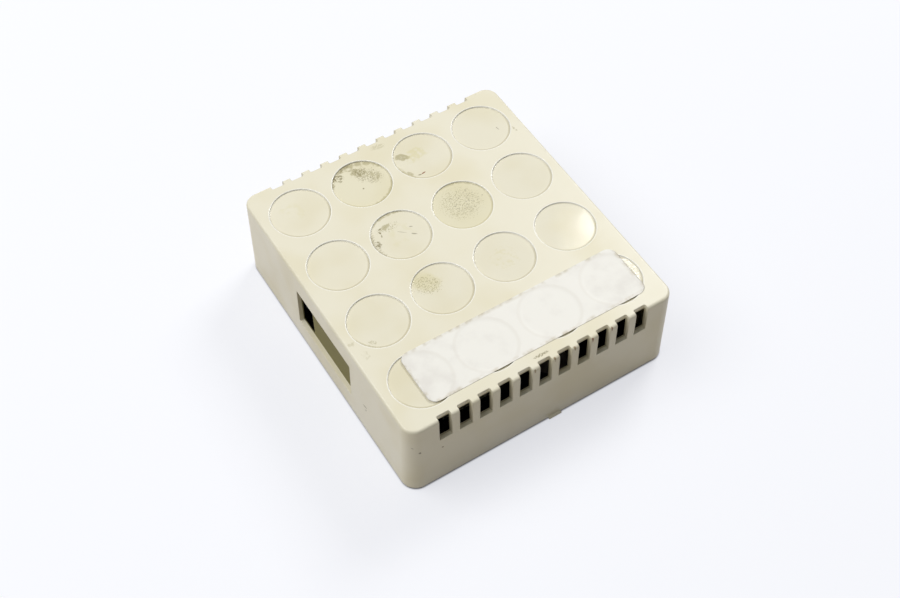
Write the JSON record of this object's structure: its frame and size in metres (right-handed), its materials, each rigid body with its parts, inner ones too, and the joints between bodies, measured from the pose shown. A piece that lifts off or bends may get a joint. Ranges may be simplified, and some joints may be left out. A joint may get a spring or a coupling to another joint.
{
  "type": "door chime",
  "caption": "Two-tone electric door chime in a square clip-on plastic case, with a solenoid striker, two tone bars, a wall base and a wiring block.",
  "frame": {"origin": "centre of the base's back face, on the wall plane", "axes": "+Z out of the wall through the face, +X along the front edge to the right, +Y towards the back edge"},
  "size_m": [0.0984, 0.1083, 0.0333],
  "materials": {
    "ivory_plastic": "fine matte moulded ivory, a little worn and stained",
    "label_paper": "blank white paper, slightly worn",
    "black_plastic": "black moulded plastic",
    "bar_steel": "zinc-plated steel plate, faintly blue",
    "grommet_rubber": "soft black rubber",
    "screw_zinc": "zinc-plated",
    "frame_zinc": "passivated zinc on bent strip",
    "bobbin_plastic": "natural nylon",
    "copper_wire": "enamelled copper wire",
    "wrap_tape": "yellow polyester tape",
    "tube_brass": "drawn brass",
    "core_steel": "turned steel",
    "striker_nylon": "white nylon",
    "spring_wire": "bright spring wire",
    "block_plastic": "white polyamide",
    "insert_brass": "machined brass",
    "lead_insulation": "red PVC insulation"
  },
  "bodies": {
    "base": {"base_plate": "black_plastic", "tone_bar_dong": "bar_steel", "tone_bar_ding": "bar_steel", "tone_bar_grommets": "grommet_rubber", "tone_bar_screws": "screw_zinc", "solenoid_frame": "frame_zinc", "solenoid_screws": "screw_zinc", "coil_bobbin": "bobbin_plastic", "coil_winding": "copper_wire", "coil_wrap": "wrap_tape", "guide_tube": "tube_brass", "return_spring": "spring_wire", "terminal_block": "block_plastic", "terminal_inserts": "insert_brass", "terminal_screws": "screw_zinc", "block_screw": "screw_zinc", "coil_lead_inner": "lead_insulation", "coil_lead_outer": "lead_insulation"},
    "cover": {"cover": "ivory_plastic", "paper_label": "label_paper"},
    "plunger": {"plunger_core": "core_steel", "striker_dong": "striker_nylon", "striker_ding": "striker_nylon"}
  },
  "joints": [
    {"name": "cover_lift", "type": "slide", "parent": "base", "child": "cover", "axis": [0, 0, 1], "range_m": [0, 0.045]},
    {"name": "plunger_slide", "type": "slide", "parent": "base", "child": "plunger", "axis": [1, 0, 0], "range_m": [-0.0069, 0.0049], "stiffness_N_per_m": 40, "deforming": ["return_spring"]}
  ]
}
